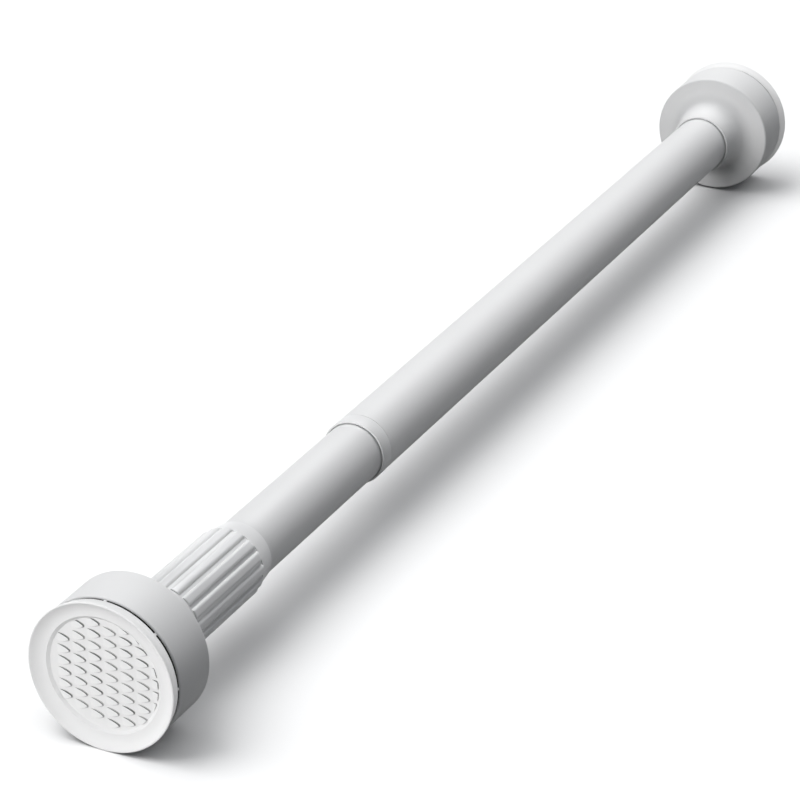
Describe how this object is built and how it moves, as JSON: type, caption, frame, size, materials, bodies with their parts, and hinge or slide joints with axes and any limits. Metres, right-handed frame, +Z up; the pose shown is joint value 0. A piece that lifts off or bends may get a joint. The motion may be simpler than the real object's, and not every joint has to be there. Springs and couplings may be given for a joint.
{
  "type": "spring tension rod",
  "caption": "White telescopic spring tension rod with trumpet end caps, soft treaded wall pads, a twist lock inside and a fluted screw nut that clamps it between two walls",
  "frame": {"origin": "centre of the fixed pad's rim, on the plane where it meets the wall", "axes": "+X along the rod from the fixed pad to the adjustable pad, +Z up, +Y across"},
  "size_m": [0.578, 0.0552, 0.0552],
  "materials": {
    "white_tube": "satin white paint on thin steel tube",
    "white_trim": "smooth white plastic",
    "white_cap": "fine matte white plastic",
    "white_pad": "soft white rubber",
    "satin_grip": "satin light grey plastic",
    "nylon": "natural moulded plastic",
    "grey_nylon": "grey moulded plastic",
    "zinc_steel": "zinc-plated steel",
    "spring_steel": "drawn spring steel",
    "brass": "turned brass"
  },
  "bodies": {
    "outer": {"outer_tube": "white_tube", "outer_tube_ferrule": "white_trim", "fixed_end_cap": "white_cap", "fixed_pad": "white_pad", "fixed_tube_plug": "nylon", "fixed_cap_screw": "zinc_steel"},
    "guide": {"guide_bush": "nylon"},
    "core": {"lock_core": "grey_nylon", "spring_rod": "zinc_steel", "piston_washer": "zinc_steel", "rod_nut": "zinc_steel"},
    "ring": {"lock_ring": "nylon"},
    "inner": {"inner_tube": "white_tube", "tail_plug": "nylon", "compression_spring": "spring_steel", "spring_seat": "nylon", "jack_bearing": "nylon", "thrust_washer": "zinc_steel", "nut_retaining_clip": "spring_steel"},
    "nut": {"adjusting_nut": "satin_grip", "nut_thread_insert": "brass"},
    "jack": {"jack_screw": "grey_nylon", "adjustable_end_cap": "white_cap", "adjustable_pad": "white_pad", "adjustable_cap_screw": "zinc_steel"}
  },
  "joints": [
    {"name": "telescope", "type": "slide", "parent": "outer", "child": "guide", "axis": [1, 0, 0], "range_m": [-0.055, 0.14]},
    {"name": "tube_twist", "type": "hinge", "parent": "guide", "child": "core", "pos_m": [0.181, 0, 0], "axis": [1, 0, 0], "range_deg": [-26, 26]},
    {"name": "lock_ring_turn", "type": "hinge", "parent": "core", "child": "ring", "pos_m": [0.158, 0, 0.0007], "axis": [1, 0, 0], "range_deg": [-26, 26]},
    {"name": "spring_travel", "type": "slide", "parent": "core", "child": "inner", "axis": [1, 0, 0], "range_m": [-0.025, 0], "stiffness_N_per_m": 2500, "springref_m": 0.012, "deforming": ["compression_spring"]},
    {"name": "nut_turn", "type": "hinge", "parent": "inner", "child": "nut", "pos_m": [0.51, 0, 0], "axis": [-1, 0, 0], "range_deg": [0, 1800]},
    {"name": "jack_travel", "type": "slide", "parent": "inner", "child": "jack", "axis": [1, 0, 0], "range_m": [0, 0.02]}
  ],
  "couplings": [
    {"joint": "lock_ring_turn", "follows": "tube_twist", "ratio": -1},
    {"joint": "nut_turn", "follows": "jack_travel", "rad_per_m": 1570.8}
  ]
}
